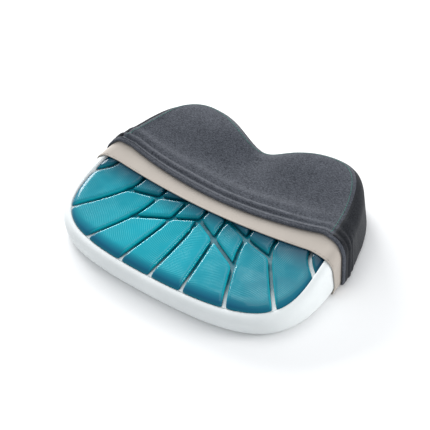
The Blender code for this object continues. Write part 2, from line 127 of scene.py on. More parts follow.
# Channels between the gel cells on the right half, as shares of half the width and half the depth
SPOKES = (
    ((0.0, -1.1), (0.0, 1.1)),
    ((0.265, -1.03), (0.258, -0.904), (0.182, -0.286), (0.167, -0.044), (0.170, 0.30), (0.205, 0.56),
     (0.275, 0.92), (0.295, 1.05)),
    ((0.650, -0.97), (0.580, -0.853), (0.431, -0.445), (0.369, -0.140), (0.365, 0.34), (0.450, 0.66),
     (0.545, 0.95), (0.580, 1.08)),
    ((0.965, -0.75), (0.853, -0.634), (0.604, -0.216), (0.560, -0.012), (0.567, 0.14), (0.600, 0.37),
     (0.700, 0.56), (0.820, 0.75), (0.920, 0.90)),
    ((1.045, -0.29), (0.934, -0.197), (0.830, -0.055), (0.808, 0.12), (0.850, 0.30), (1.000, 0.48)),
)
CHEVRONS = (
    ((0.0, -0.172), (0.182, -0.286), (0.431, -0.445)),
    ((0.0, 0.051), (0.167, -0.044), (0.369, -0.140), (0.604, -0.216)),
    ((0.0, 0.270), (0.170, 0.300), (0.365, 0.340), (0.600, 0.370)),
    ((0.0, 0.500), (0.205, 0.560), (0.450, 0.660)),
    ((0.567, 0.140), (0.808, 0.120)),
)


def smooth_step(value, start, end):
    t = np.clip((value - start) / (end - start), 0.0, 1.0)
    return t * t * (3 - 2 * t)


def lengths_along(points):
    """Length along a row of points from its first, for each of them."""
    return np.concatenate([[0.0], np.cumsum(np.linalg.norm(np.diff(points, axis=0), axis=1))])


def read_along(values, along, wanted):
    """Rows of values, each given at a length in along, read at other lengths."""
    return np.column_stack([np.interp(wanted, along, column) for column in values.T])


def gel_edge_half(steps):
    """Right half of the foam's outline, from the middle of the front round to the notch."""
    front = Vector((0.0, FRONT_Y, 0.0))
    side = Vector((HALF_WIDTH, MIDDLE_Y + WIDEST_Y, 0.0))
    lobe = Vector((LOBE_X, REAR_Y, 0.0))
    notch = Vector((0.0, REAR_Y - NOTCH_DEPTH, 0.0))
    right = Vector((1.0, 0.0, 0.0))
    back = Vector((0.0, 1.0, 0.0))
    curves = (
        (front, front + right * FRONT_HANDLE, side - back * SIDE_FRONT_HANDLE, side),
        (side, side + back * SIDE_REAR_HANDLE, lobe + right * LOBE_OUTER_HANDLE, lobe),
        (lobe, lobe - right * LOBE_INNER_HANDLE, notch + right * NOTCH_HANDLE, notch),
    )
    points = []
    for curve in curves:
        points += interpolate_bezier(*curve, steps + 1)[:-1]
    return np.array([point[:2] for point in points + [notch]])


class Plan:
    """The foam's outline as evenly spaced columns, anticlockwise from the middle of the front."""

    def __init__(self, columns):
        half = gel_edge_half(200)
        ring = np.vstack([half, half[-2::-1] * (-1, 1)])
        along = lengths_along(ring)
        self.along = np.linspace(0.0, along[-1], columns + 1)
        self.points = read_along(ring, along, self.along[:-1])
        forward = np.roll(self.points, -1, axis=0) - np.roll(self.points, 1, axis=0)
        outwards = np.column_stack([forward[:, 1], -forward[:, 0]])
        self.outwards = outwards / np.linalg.norm(outwards, axis=1)[:, None]
        inset = self.ring(-GEL_INSET)
        sunk = smooth_step(depth_share(inset[:, 1]), PROUD_START, PROUD_END)
        self.rim = gel_height(inset) - FRONT_PROUD - (SIDE_PROUD - FRONT_PROUD) * sunk

    def ring(self, distance):
        """The outline moved outwards by a distance."""
        return self.points + self.outwards * distance

    def at(self, distance, height):
        """A row of points beside the outline; height is a number or an array."""
        return np.column_stack([self.ring(distance), np.broadcast_to(height, len(self.points))])

    def towards_centre(self, distance, share, height):
        """A ring beside the outline drawn in towards the centre; height is a function of plan points."""
        plan = CENTRE + (self.ring(distance) - CENTRE) * share
        return np.column_stack([plan, height(plan)])


def depth_share(y):
    return np.clip((y - FRONT_Y) / FOAM_DEPTH, 0.0, 1.0)


def read_heights(table, share):
    """Heights on a smooth line through a table's points."""
    knots, values = np.array(table).T
    before = np.maximum(np.arange(len(knots)) - 1, 0)
    after = np.minimum(np.arange(len(knots)) + 1, len(knots) - 1)
    slopes = (values[after] - values[before]) / (knots[after] - knots[before])
    start = np.clip(np.searchsorted(knots, share, side="right") - 1, 0, len(knots) - 2)
    span = knots[start + 1] - knots[start]
    t = (share - knots[start]) / span
    return ((2 * t ** 3 - 3 * t ** 2 + 1) * values[start] + (t ** 3 - 2 * t ** 2 + t) * span * slopes[start]
            + (3 * t ** 2 - 2 * t ** 3) * values[start + 1] + (t ** 3 - t ** 2) * span * slopes[start + 1])


SIDE_LINE = gel_edge_half(60)[:121]     # from the front to the lobe, which runs back all the way


def gel_height(plan):
    """Top of the gel cells over plan points: a dish that slopes down to the front."""
    share = depth_share(plan[:, 1])
    middle = read_heights(MIDDLE_HEIGHTS, share)
    edge = read_heights(SIDE_HEIGHTS, share)
    widest = np.maximum(np.interp(plan[:, 1], SIDE_LINE[:, 1], SIDE_LINE[:, 0]), LOBE_X / 2)
    out = np.minimum(np.abs(plan[:, 0]) / widest, 1.0) ** DISH_POWER
    saddle = smooth_step(share, NOTCH_BLEND_START, NOTCH_BLEND_END)
    notch = np.exp(-(plan[:, 0] / NOTCH_BLEND_WIDTH) ** 2)
    return middle + (edge - middle) * (out * (1 - saddle) + (1 - notch) * saddle)


def over_gel(distance):
    return lambda plan: gel_height(plan) + distance


# ---- meshes ----

def row_lengths(rows):
    """Length along each column from the first row."""
    steps = np.linalg.norm(np.diff(rows, axis=0), axis=2)
    return np.vstack([np.zeros(rows.shape[1]), np.cumsum(steps, axis=0)])


def quad_surface(points, along, across):
    """A surface of quads through rows of points, with a UV map of two lengths in metres for each point."""
    lengths = np.dstack([np.broadcast_to(along, points.shape[:2]), np.broadcast_to(across, points.shape[:2])])
    lengths = lengths.reshape(-1, 2)
    bm = bmesh.new()
    layer = bm.loops.layers.uv.new("cloth")
    bmesh.ops.create_grid(bm, x_segments=points.shape[1] - 1, y_segments=points.shape[0] - 1, size=0.5)
    bm.verts.index_update()
    for vert, place in zip(bm.verts, points.reshape(-1, 3)):
        vert.co = place
    for face in bm.faces:
        for loop in face.loops:
            loop[layer].uv = lengths[loop.vert.index]
    return bm


def ring_surface(plan, rows):
    """A closed surface through rings of points round a plan."""
    points = np.array(rows)
    points = np.concatenate([points, points[:, :1]], axis=1)
    bm = quad_surface(points, plan.along, row_lengths(points))
    bmesh.ops.remove_doubles(bm, verts=bm.verts, dist=0.000001)
    return bm


def new_piece(name, bm, material):
    """A smooth shaded object at the origin from a bmesh."""
    mesh = bpy.data.meshes.new(name)
    bm.to_mesh(mesh)
    bm.free()
    return piece_from_mesh(name, mesh, material)


def piece_from_mesh(name, mesh, material):
    mesh.shade_smooth()
    mesh.materials.clear()
    mesh.materials.append(material)
    piece = bpy.data.objects.new(name, mesh)
    bpy.context.scene.collection.objects.link(piece)
    return piece


def read_vectors(items, name):
    values = np.empty(len(items) * 3)
    items.foreach_get(name, values)
    return values.reshape(-1, 3)


def read_points(mesh):
    return read_vectors(mesh.vertices, "co")


def read_normals(mesh):
    return read_vectors(mesh.vertex_normals, "vector")


def write_points(mesh, points):
    mesh.vertices.foreach_set("co", points.ravel())
    mesh.update()


def write_attribute(mesh, name, values):
    attribute = mesh.attributes.new(name, "FLOAT", "POINT")
    attribute.data.foreach_set("value", np.ascontiguousarray(values, dtype=np.float32))


def thicken(piece, thickness):
    """Gives a fabric's inner surface its thickness, outwards."""
    wall = piece.modifiers.new("fabric thickness", "SOLIDIFY")
    wall.thickness = thickness
    wall.offset = 1.0


def finish_piece(piece, body, slot, *nodes):
    """Rides on a body and stands for its CAD nodes, which it hides; the slot is not used."""
    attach(piece, body)
    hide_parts(*nodes)


# ---- materials ----

class Finish:
    """A material and its nodes; add() makes a node and fills its inputs from sockets or values."""

    def __init__(self, name):
        self.material = bpy.data.materials.new(name)
        self.material.use_nodes = True
        self.tree = self.material.node_tree
        self.shader = self.tree.nodes["Principled BSDF"]

    def fill(self, socket, value):
        if isinstance(value, bpy.types.NodeSocket):
            self.tree.links.new(value, socket)
        else:
            socket.default_value = value

    def add(self, kind, inputs, **settings):
        node = self.tree.nodes.new("ShaderNode" + kind)
        for key, value in settings.items():
            setattr(node, key, value)
        for key, value in inputs.items():
            self.fill(node.inputs[key], value)
        return node

    def set(self, **inputs):
        for key, value in inputs.items():
            self.fill(self.shader.inputs[key.replace("_", " ")], value)

    def place(self, scale=(1.0, 1.0, 1.0), source="Object", centre=(0.0, 0.0, 0.0), turn=0.0):
        """Coordinates in units of the pattern's own length, width and height."""
        if source == "Object":
            vector = self.add("TexCoord", {}).outputs["Object"]
        else:
            vector = self.add("UVMap", {}, uv_map=source).outputs["UV"]
        mapping = self.add("Mapping", {"Vector": vector, "Location": centre, "Rotation": (0.0, 0.0, turn),
                                       "Scale": scale})
        return mapping.outputs["Vector"]

    def noise(self, vector, scale, detail=2.0, roughness=0.5):
        node = self.add("TexNoise", {"Vector": vector, "Scale": scale, "Detail": detail,
                                     "Roughness": roughness})
        return node.outputs["Fac"]

    def loops(self, vector, scale=1.0):
        return self.add("TexVoronoi", {"Vector": vector, "Scale": scale}).outputs["Distance"]

    def away(self, x, y):
        """Distance in plan from a place."""
        vector = self.place((1.0, 1.0, 0.0), centre=(-x, -y, 0.0))
        return self.add("VectorMath", {0: vector}, operation="LENGTH").outputs["Value"]

    def spread(self, value, low, high, start=0.0, end=1.0):
        node = self.add("MapRange", {"Value": value, "From Min": low, "From Max": high, "To Min": start,
                                     "To Max": end})
        return node.outputs["Result"]

    def maths(self, operation, first, second=0.0):
        return self.add("Math", {0: first, 1: second}, operation=operation).outputs[0]

    def times(self, first, second):
        return self.maths("MULTIPLY", first, second)

    def blend(self, share, first, second):
        """A colour between two colours, each a socket or a value."""
        node = self.add("Mix", {0: share}, data_type="RGBA")
        for index, colour in ((6, first), (7, second)):
            made = isinstance(colour, bpy.types.NodeSocket)
            self.fill(node.inputs[index], colour if made else (*colour, 1.0))
        return node.outputs[2]

    def attribute(self, name):
        return self.add("Attribute", {}, attribute_name=name).outputs["Fac"]

    def bump(self, height, distance, strength=1.0, under=None):
        inputs = {"Height": height, "Distance": distance, "Strength": strength}
        if under:
            inputs["Normal"] = under
        return self.add("Bump", inputs).outputs["Normal"]


def toned(colour, share):
    return [channel * share for channel in colour]


def foam_finish(colour):
    """Moulded foam: fine closed pores, a slight mottle and soft light inside."""
    finish = Finish("moulded foam")
    metres = finish.place()
    mottle = finish.spread(finish.noise(metres, 22.0, 3.0), 0.3, 0.7)
    pores = finish.loops(metres, 900.0)
    skin = finish.noise(metres, 160.0, 4.0, 0.6)
    relief = finish.bump(pores, 0.00012, 0.5, finish.bump(skin, 0.0004, 0.35))
    finish.set(Base_Color=finish.blend(mottle, toned(colour, 0.95), colour),
               Roughness=finish.spread(skin, 0.3, 0.7, 0.5, 0.62), Normal=relief, Subsurface_Weight=0.12,
               Subsurface_Scale=0.01, Specular_IOR_Level=0.35)
    finish.shader.inputs["Subsurface Radius"].default_value = (1.0, 1.0, 1.0)
    return finish.material


# Painted light: the gel's tops are lightened into a pool round this place.
PAINTED_GLOW_PLACE = (-0.045, -0.075)  # where the gel is at its brightest
RIPPLE_COLOUR = (0.10, 0.56, 0.62)
SHADE_COLOUR = (0.0, 0.020, 0.050)


def gel_finish(name, top, outer_top, rim, wall, end, spacing, ripple):
    """Glossy teal gel, darker with depth, with fine moulded ripples round the middle of the cushion; light is
    painted in a pool on its tops, and shade is painted on the cells' outer ends and across the liner's mouth.
    """
    finish = Finish(name)
    metres = finish.place()
    wander = finish.noise(metres, 22.0, 1.0)
    turns = finish.maths("ADD", finish.times(finish.away(*CENTRE), math.tau / spacing),
                         finish.times(wander, 20.0))
    wave = finish.maths("SINE", turns)
    patches = finish.spread(finish.noise(metres, 30.0, 2.0), 0.34, 0.56)
    depth = finish.attribute("depth")
    flat = finish.spread(depth, 0.02, 0.12, 1.0, 0.0)
    lines = finish.times(finish.times(finish.spread(wave, 0.35, 1.0), patches), flat)
    cloud = finish.spread(finish.noise(metres, 12.0, 2.0), 0.35, 0.65)
    # A pool of light painted on the tops: full within 45 mm of its place and gone by 200 mm.
    painted_glow = finish.spread(finish.away(*PAINTED_GLOW_PLACE), 0.045, 0.200, 1.0, 0.0)
    face = finish.blend(painted_glow, outer_top, finish.blend(cloud, top, toned(top, 1.25)))
    face = finish.blend(finish.times(lines, 0.42), face, RIPPLE_COLOUR)
    # Painted shade on the cells' outer ends, from the nose share, which is narrower at the side ends than at
    # the front.
    ends = finish.spread(finish.attribute("nose"), 0.10, 0.80, 0.0, 0.9)
    face = finish.blend(ends, face, end)
    edge = finish.spread(finish.attribute("edge"), 0.25, 0.95, 0.0, 0.85)
    face = finish.blend(finish.times(edge, finish.spread(ends, 0.0, 0.9, 1.0, 0.0)), face, rim)
    sunk = finish.blend(finish.spread(depth, 0.40, 0.85), face, wall)
    sunk = finish.blend(finish.times(finish.attribute("shade"), 0.92), sunk, SHADE_COLOUR)
    relief = finish.bump(finish.times(finish.times(wave, flat), patches), ripple, 0.6)
    finish.set(Base_Color=sunk, Roughness=0.35, Normal=relief, Specular_IOR_Level=0.03, Coat_Weight=0.38,
               Coat_Roughness=0.06)
    return finish.material


def web_finish(foam, teal):
    """Thin gel over white foam: pale at its edge, where it is drawn out thin, and teal further in."""
    finish = Finish("gel web")
    metres = finish.place()
    thin = finish.attribute("thin")
    cloud = finish.noise(metres, 60.0, 2.0)
    share = finish.maths("ADD", thin, finish.spread(cloud, 0.3, 0.7, -0.12, 0.12))
    finish.set(Base_Color=finish.blend(finish.spread(share, 0.0, 1.0), teal, foam), Roughness=0.22,
               Normal=finish.bump(cloud, 0.0006, 0.4), Coat_Weight=0.6, Coat_Roughness=0.1)
    return finish.material


def jersey_finish(colour):
    """Thin smooth jersey with a fine wale."""
    finish = Finish("liner jersey")
    metres = finish.place()
    loops = finish.loops(finish.place((1500.0, 1100.0, 1.0), "cloth"))
    tone = finish.spread(finish.noise(metres, 18.0, 3.0), 0.3, 0.7)
    finish.set(Base_Color=finish.blend(tone, toned(colour, 0.93), colour), Roughness=0.75, Sheen_Weight=0.15,
               Normal=finish.bump(loops, 0.00008, 0.5), Specular_IOR_Level=0.2)
    return finish.material


def knit_finish(name, dark, light, source="Object"):
    """Heather knit: light and dark fibres in short streaks along the courses, and a fine loop relief."""
    finish = Finish(name)
    fibres = finish.noise(finish.place((290.0, 1100.0, 1100.0), source), 1.0, 2.0, 0.6)
    strands = finish.noise(finish.place((480.0, 2300.0, 2300.0), source, turn=0.5), 1.0, 1.0)
    patches = finish.noise(finish.place(), 55.0, 2.0)
    share = finish.maths("ADD", finish.spread(fibres, 0.34, 0.68, 0.0, 0.62),
                         finish.spread(strands, 0.38, 0.66, 0.0, 0.38))
    share = finish.maths("ADD", share, finish.spread(patches, 0.3, 0.7, -0.05, 0.05))
    colour = finish.blend(finish.spread(share, 0.05, 0.95), dark, light)
    loops = finish.loops(finish.place((900.0, 1300.0, 900.0), source))
    relief = finish.bump(loops, 0.0002, 0.6, finish.bump(fibres, 0.0004, 0.6))
    finish.set(Base_Color=colour, Roughness=0.9, Sheen_Weight=0.12, Normal=relief, Specular_IOR_Level=0.1)
    finish.shader.inputs["Sheen Roughness"].default_value = 0.5
    return finish.material


def thread_finish(colour):
    """Twisted sewing thread."""
    finish = Finish("topstitch thread")
    twist = finish.noise(finish.place((3000.0, 3000.0, 3000.0)), 1.0, 1.0)
    tone = finish.spread(twist, 0.3, 0.7)
    finish.set(Base_Color=finish.blend(tone, toned(colour, 0.6), colour), Roughness=0.55,
               Normal=finish.bump(twist, 0.0001, 0.5))
    return finish.material


# ---- foam ----

def raise_rear(points):
    """Lifts the underside of the foam's rear over its two bottom panels."""
    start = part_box("liner_hem")[0].y
    rear = smooth_step(points[:, 1], start - RECESS_FADE, start)
    low = 1 - smooth_step(points[:, 2], 0.0, RECESS_TOP)
    points[:, 2] += FOAM_RECESS * rear * low


def foam_rows(plan):
    rows = [plan.towards_centre(-ROUND, share, lambda at: np.zeros(len(at)))
            for share in np.linspace(0, 1, 7)[:-1]]
    for turn in np.linspace(0, math.pi / 2, 9):
        rows.append(plan.at(-ROUND * (1 - math.sin(turn)), ROUND * (1 - math.cos(turn))))
    for share in np.linspace(0, 1, 9)[1:-1]:
        rows.append(plan.at(0.0, ROUND + (plan.rim - ROUND * 2) * share))
    for turn in np.linspace(0, math.pi / 2, 13):
        rows.append(plan.at(-ROUND * (1 - math.cos(turn)), plan.rim - ROUND * (1 - math.sin(turn))))
    rows.append(plan.at(-GEL_INSET + 0.0003, plan.rim - 0.0001))
    rows.append(plan.towards_centre(-GEL_INSET, 1.0, over_gel(-CELL_HEIGHT - TOUCH)))
    for share in np.linspace(0.2, 1, 5):
        under = -CELL_HEIGHT - TOUCH * 2 - WEB_THICKNESS * share
        rows.append(plan.towards_centre(-GEL_INSET - WEB_INSET * share, 1.0, over_gel(under)))
    web_seat = over_gel(-CELL_HEIGHT - WEB_THICKNESS - TOUCH * 2)
    for share in np.linspace(1, 0, 26)[1:]:
        rows.append(plan.towards_centre(-GEL_INSET - WEB_INSET, share, web_seat))
    return rows


def build_foam(settings):
    plan = Plan(420)
    piece = new_piece("foam_body", ring_surface(plan, foam_rows(plan)), foam_finish(settings.colour))
    points = read_points(piece.data)
    raise_rear(points)
    write_points(piece.data, points)
    finish_piece(piece, "base", "foam", "foam_base")


# ---- gel ----

def channel_paths(steps):
    """Every channel's middle line on the right half, in plan."""
    paths = []
    for points in SPOKES + CHEVRONS:
        knots = [Vector((x * HALF_WIDTH, MIDDLE_Y + y * FOAM_DEPTH / 2, 0.0)) for x, y in points]
        path = []
        for index in range(len(knots) - 1):
            before = knots[max(index - 1, 0)]
            start, end = knots[index], knots[index + 1]
            after = knots[min(index + 2, len(knots) - 1)]
            first = start + (end - before) / 6
            second = end - (after - start) / 6
            path += interpolate_bezier(start, first, second, end, steps + 1)[:-1]
        paths.append(np.array([point[:2] for point in path + [knots[-1]]]))
    return paths


def from_path(plan, path):
    """Distance of plan points from a path, and the unit direction away from it."""
    start, span = path[:-1], np.diff(path, axis=0)
    from_start = plan[:, None] - start[None]
    t = np.clip((from_start * span).sum(2) / (span ** 2).sum(1), 0.0, 1.0)
    away = from_start - span * t[..., None]
    distance = np.sqrt((away ** 2).sum(2))
    nearest = distance.argmin(1)
    rows = np.arange(len(plan))
    distance = distance[rows, nearest]
    return distance, away[rows, nearest] / np.maximum(distance, 1e-9)[:, None]


CELL_REACH = 0.015          # how far round a cell its neighbouring channels are looked for
STEEP = 0.6                 # how far upright a normal is before its face counts as a cell's top or bottom
SHADE_START = -0.045        # the shaded band on the gel starts this far in front of the liner's mouth,
SHADE_DARKEST = 0.004       # is darkest just behind it
SHADE_END = 0.040           # and ends under the liner


class CellEdges:
    """How far plan points lie inside the gel cell that they belong to."""

    def __init__(self, plan):
        middle = (plan.min(0) + plan.max(0)) / 2
        reach = np.linalg.norm(plan - middle, axis=1).max() + CELL_REACH
        ring = Plan(400)
        self.edge = ring.ring(-GEL_INSET - TOUCH)
        near = np.linalg.norm(self.edge - middle, axis=1) < reach
        if not near.any():
            near[0] = True
        self.edge, self.outwards = self.edge[near], ring.outwards[near]
        self.paths = []
        for path in channel_paths(8):
            near = np.linalg.norm(path - middle, axis=1) < reach
            if near.sum() > 1:
                self.paths.append(path[near])

    def outer(self, plan):
        """Distance in from the gel's outer edge, and the inward direction."""
        nearest = ((plan[:, None] - self.edge[None]) ** 2).sum(2).argmin(1)
        inwards = -self.outwards[nearest]
        return ((plan - self.edge[nearest]) * inwards).sum(1), inwards

    def channels(self, plan):
        found = [from_path(plan, path) for path in self.paths]
        return [(distance - CHANNEL_WIDTH / 2, away) for distance, away in found]

    def inside(self, plan, corner):
        """Distance inside the cell with its corners rounded in plan, and its gradient."""
        found = [self.outer(plan)] + self.channels(plan)
        distances = np.array([distance for distance, _ in found])
        nearest = distances.min(0)
        weights = np.exp(-(distances - nearest) / corner)
        total = weights.sum(0)
        gradient = sum((weight / total)[:, None] * away for weight, (_, away) in zip(weights, found))
        return nearest - corner * np.log(total), gradient, distances[0]


def even_mesh(node, spacing):
    """A copy of a CAD node's mesh with its corners merged, remeshed evenly."""
    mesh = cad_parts[node].data.copy()
    bm = bmesh.new()
    bm.from_mesh(mesh)
    bmesh.ops.remove_doubles(bm, verts=bm.verts, dist=0.000005)
    bm.to_mesh(mesh)
    bm.free()
    coarse = bpy.data.objects.new("coarse", mesh)
    bpy.context.scene.collection.objects.link(coarse)
    remesh = coarse.modifiers.new("even mesh", "REMESH")
    remesh.mode = "VOXEL"
    remesh.voxel_size = spacing
    graph = bpy.context.evaluated_depsgraph_get()
    result = bpy.data.meshes.new_from_object(coarse.evaluated_get(graph))
    bpy.data.objects.remove(coarse, do_unlink=True)
    return result


def soften(mesh, factor, repeat):
    bm = bmesh.new()
    bm.from_mesh(mesh)
    for _ in range(repeat):
        bmesh.ops.smooth_vert(bm, verts=bm.verts, factor=factor, use_axis_x=True, use_axis_y=True,
                              use_axis_z=True)
    bm.to_mesh(mesh)
    bm.free()


def shape_cell(mesh, settings):
    """Draws a remeshed cell onto its true plan, rounds its top and lowers its outer end."""
    points = read_points(mesh)
    upright = read_normals(mesh)[:, 2]
    wall = np.abs(upright) < STEEP
    plan = points[:, :2]
    edges = CellEdges(plan)
    inside, gradient, outer = edges.inside(plan, settings.corner)
    for _ in range(2):
        steps = np.where(wall | (inside < 0), inside, 0.0)
        plan -= gradient * steps[:, None]
        inside, gradient, outer = edges.inside(plan, settings.corner)
    top = gel_height(plan)
    share = np.clip((points[:, 2] - top + CELL_HEIGHT) / CELL_HEIGHT, 0.0, 1.0)
    share = np.where(upright > STEEP, 1.0, np.where(upright < -STEEP, 0.0, share))
    radius = settings.edge_radius
    reach = np.clip(radius - inside, 0.0, radius)
    rounding = settings.edge_drop * (reach / radius) ** 2
    # The nose share also carries painted shade: the attribute written below is kept narrower at the side
    # ends, so the front ends are shaded most.
    side = smooth_step(np.abs(plan[:, 0]), 0.130, 0.190)
    nose = np.clip(1 - outer / (settings.nose_reach * (1 - 0.25 * side)), 0.0, 1.0)
    write_attribute(mesh, "edge", np.clip(1 - inside / radius, 0.0, 1.0))
    write_attribute(mesh, "nose", nose ** (1 + 1.6 * side))
    sunk = smooth_step(depth_share(plan[:, 1]), PROUD_START, PROUD_END)
    most = np.minimum(settings.nose_drop, FRONT_PROUD + (SIDE_PROUD - FRONT_PROUD) * sunk + 0.0030)
    drop = rounding + most * nose ** 2
    points[:, 2] = top - CELL_HEIGHT + share * (CELL_HEIGHT - drop)
    write_points(mesh, points)
    soften(mesh, 0.5, 12)


def colour_cell(mesh):
    """Attributes for the gel's colour: depth under the cell's crown, and shade across the liner's mouth."""
    points = read_points(mesh)
    depth = (gel_height(points[:, :2]) - points[:, 2]) / CELL_HEIGHT
    write_attribute(mesh, "depth", np.clip(depth, 0.0, 1.0))
    behind = points[:, 1] - mouth_y(points, LINER_MOUTH)
    under = smooth_step(behind, SHADE_DARKEST, SHADE_END)
    write_attribute(mesh, "shade", smooth_step(behind, SHADE_START, SHADE_DARKEST) * (1 - under))


def mirrored_copy(mesh, name):
    copy = mesh.copy()
    copy.name = name
    bm = bmesh.new()
    bm.from_mesh(copy)
    bmesh.ops.scale(bm, vec=(-1.0, 1.0, 1.0), verts=bm.verts)
    bmesh.ops.reverse_faces(bm, faces=bm.faces)
    bm.to_mesh(copy)
    bm.free()
    return copy


def build_cells(settings):
    material = gel_finish("gel", settings.painted_light_top_colour, settings.outer_top_colour, settings.rim_colour,
                          settings.wall_colour, settings.shaded_end_colour, settings.ripple_spacing,
                          settings.ripple_height)
    names = sorted(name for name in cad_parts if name.startswith("gel_cell_right_"))
    for name in names:
        mesh = even_mesh(name, settings.mesh_spacing)
        shape_cell(mesh, settings)
        left = name.replace("right", "left")
        for node, shape in ((name, mesh), (left, mirrored_copy(mesh, left))):
            colour_cell(shape)
            piece = piece_from_mesh(node.replace("gel_cell", "gel_pad"), shape, material)
            finish_piece(piece, "base", "gel", node)


WEB_TAPER = 0.15            # outer share of the way from the centre over which the web thins to nothing


def build_web(settings):
    plan = Plan(420)
    web_edge = -GEL_INSET - TOUCH * 2
    rows = []
    for share in np.linspace(0, 1, 90):
        thickness = WEB_THICKNESS * min((1 - share) / WEB_TAPER, 1.0)
        rows.append(plan.towards_centre(web_edge, share, over_gel(-CELL_HEIGHT - TOUCH - thickness)))
    for share in np.linspace(0, 1, 90)[::-1]:
        rows.append(plan.towards_centre(web_edge, share, over_gel(-CELL_HEIGHT - TOUCH)))
    material = web_finish(settings.pale_colour, settings.colour)
    piece = new_piece("gel_web_sheet", ring_surface(plan, rows), material)
    points = read_points(piece.data)
    ring = plan.ring(web_edge)[::6]
    distance, _ = from_path(points[:, :2], np.vstack([ring, ring[:1]]))
    thin = 1 - smooth_step(distance, settings.pale, settings.pale + settings.fade)
    write_attribute(piece.data, "thin", thin)
    finish_piece(piece, "base", "gel", "gel_web")


# ---- fabric ----

LEAN_START = 0.180          # where a mouth starts to run forward, out from the middle line

# Each mouth's front edge: its place on the middle line, how far it runs back by LEAN_START, how far it comes
# forward at the side, how much further for each metre down the wall, and its tip's reach at the wall's foot
LINER_MOUTH = (-0.0093, 0.0080, 0.0117, 0.0, 0.0080)
COVER_MOUTH = (0.0102, 0.0170, 0.0222, 0.20, 0.0)
HEM_REACH = 0.0056          # depth of the cover's hem, from its front edge to the panels


def mouth_y(points, mouth):
    """Front edge of a drawn back cover, for points on or beside it."""
    middle, bow, lean, fall, tip = mouth
    x, z = points[..., 0], points[..., 2]
    out = np.abs(x)
    reach = np.maximum(out - LEAN_START, 0.0) / (HALF_WIDTH - LEAN_START)
    side = smooth_step(out, HALF_WIDTH - 0.020, HALF_WIDTH - 0.003)
    slack = 1 - 0.45 * smooth_step(-x, 0.10, 0.20) * (1 - side)
    wall = side * (fall * np.maximum(0.0635 - z, 0.0) + tip * (1 - smooth_step(z, 0.003, 0.013)))
    return middle + bow * (out / LEAN_START) ** 2 - lean * slack * reach ** 1.3 - wall


def seam_inset(plan):
    """How far in from the outline the cover's seam lies: on top at the sides, at the edge along the rear."""
    x, y = plan.points.T
    right = 0.0015 + 0.0185 * np.clip((0.150 - y) / 0.120, 0.0, 1.3) ** 0.75
    left = 0.0005 + 0.0085 * smooth_step(0.150 - y, 0.0, 0.05)
    side = smooth_step(np.abs(x), LOBE_X - 0.03, LOBE_X + 0.03)
    return np.where(x > 0, right, left) * side + 0.0010 * (1 - side)


def turn_at(inset, distance):
    """The part of the turn from side to top at which a fabric stands an inset in from the outline."""
    radius = ROUND + distance
    return np.arccos(np.clip(1 - (distance + inset) / radius, 0.0, 1.0))


def edge_row(plan, distance, turn, inset):
    """A ring on the fabric's rounded edge, or on the top where the inset is larger than the rounding."""
    radius = ROUND + distance
    start = plan.rim + SIDE_PROUD - ROUND
    on_turn = turn < math.pi / 2 - 0.0001
    outwards = np.where(on_turn, distance - radius * (1 - np.cos(turn)), -inset)
    at = plan.points + plan.outwards * outwards[:, None]
    top = gel_height(at) + distance
    blend = smooth_step(-outwards, ROUND, ROUND + 0.010)
    level = start + radius * np.sin(turn)
    return np.column_stack([at, level * (1 - blend) + top * blend])


TOP_INSET = 0.034           # where the rings beside the outline give way to rings drawn in to the middle


def fabric_rows(plan, distance, base, seam=None, wall=True, top=True):
    """Rings of a fabric's inner surface from its base up to the middle of the top, or from or to its seam."""
    rows = []
    start = plan.rim + SIDE_PROUD - ROUND
    if wall:
        for share in np.linspace(0, 1, 20)[:-1]:
            height = base + (start - base) * share
            low = np.clip(ROUND - height, 0.0, ROUND)
            tuck = TUCK_SHARE * (ROUND - np.sqrt(ROUND ** 2 - low ** 2))
            rows.append(np.column_stack([plan.points + plan.outwards * (distance - tuck)[:, None], height]))
    full = np.full(len(plan.points), TOP_INSET)
    low = -distance * np.ones(len(full)) if wall else seam
    high = full if top else seam - TOUCH * 2
    for share in np.linspace(0, 1, 34):
        inset = low + (high - low) * (1 - math.cos(share * math.pi / 2) if wall else share)
        rows.append(edge_row(plan, distance, turn_at(inset, distance), inset))
    if top:
        for share in np.linspace(1, 0, 90)[1:]:
            rows.append(plan.towards_centre(-TOP_INSET, share, over_gel(distance)))
    return rows


def cut_mouth(bm, mouth, shift=0.0):
    """Removes what lies in front of the mouth line, which is straightened for the cut."""
    bm.verts.ensure_lookup_table()
    lines = mouth_y(np.array([vert.co for vert in bm.verts]), mouth) + shift
    for vert, line in zip(bm.verts, lines):
        vert.co.y -= line
    bmesh.ops.bisect_plane(bm, geom=bm.verts[:] + bm.edges[:] + bm.faces[:], plane_co=(0.0, 0.0, 0.0),
                           plane_no=(0.0, -1.0, 0.0), dist=0.00001, clear_outer=True)
    lines = mouth_y(np.array([vert.co for vert in bm.verts]), mouth) + shift
    for vert, line in zip(bm.verts, lines):
        vert.co.y += line


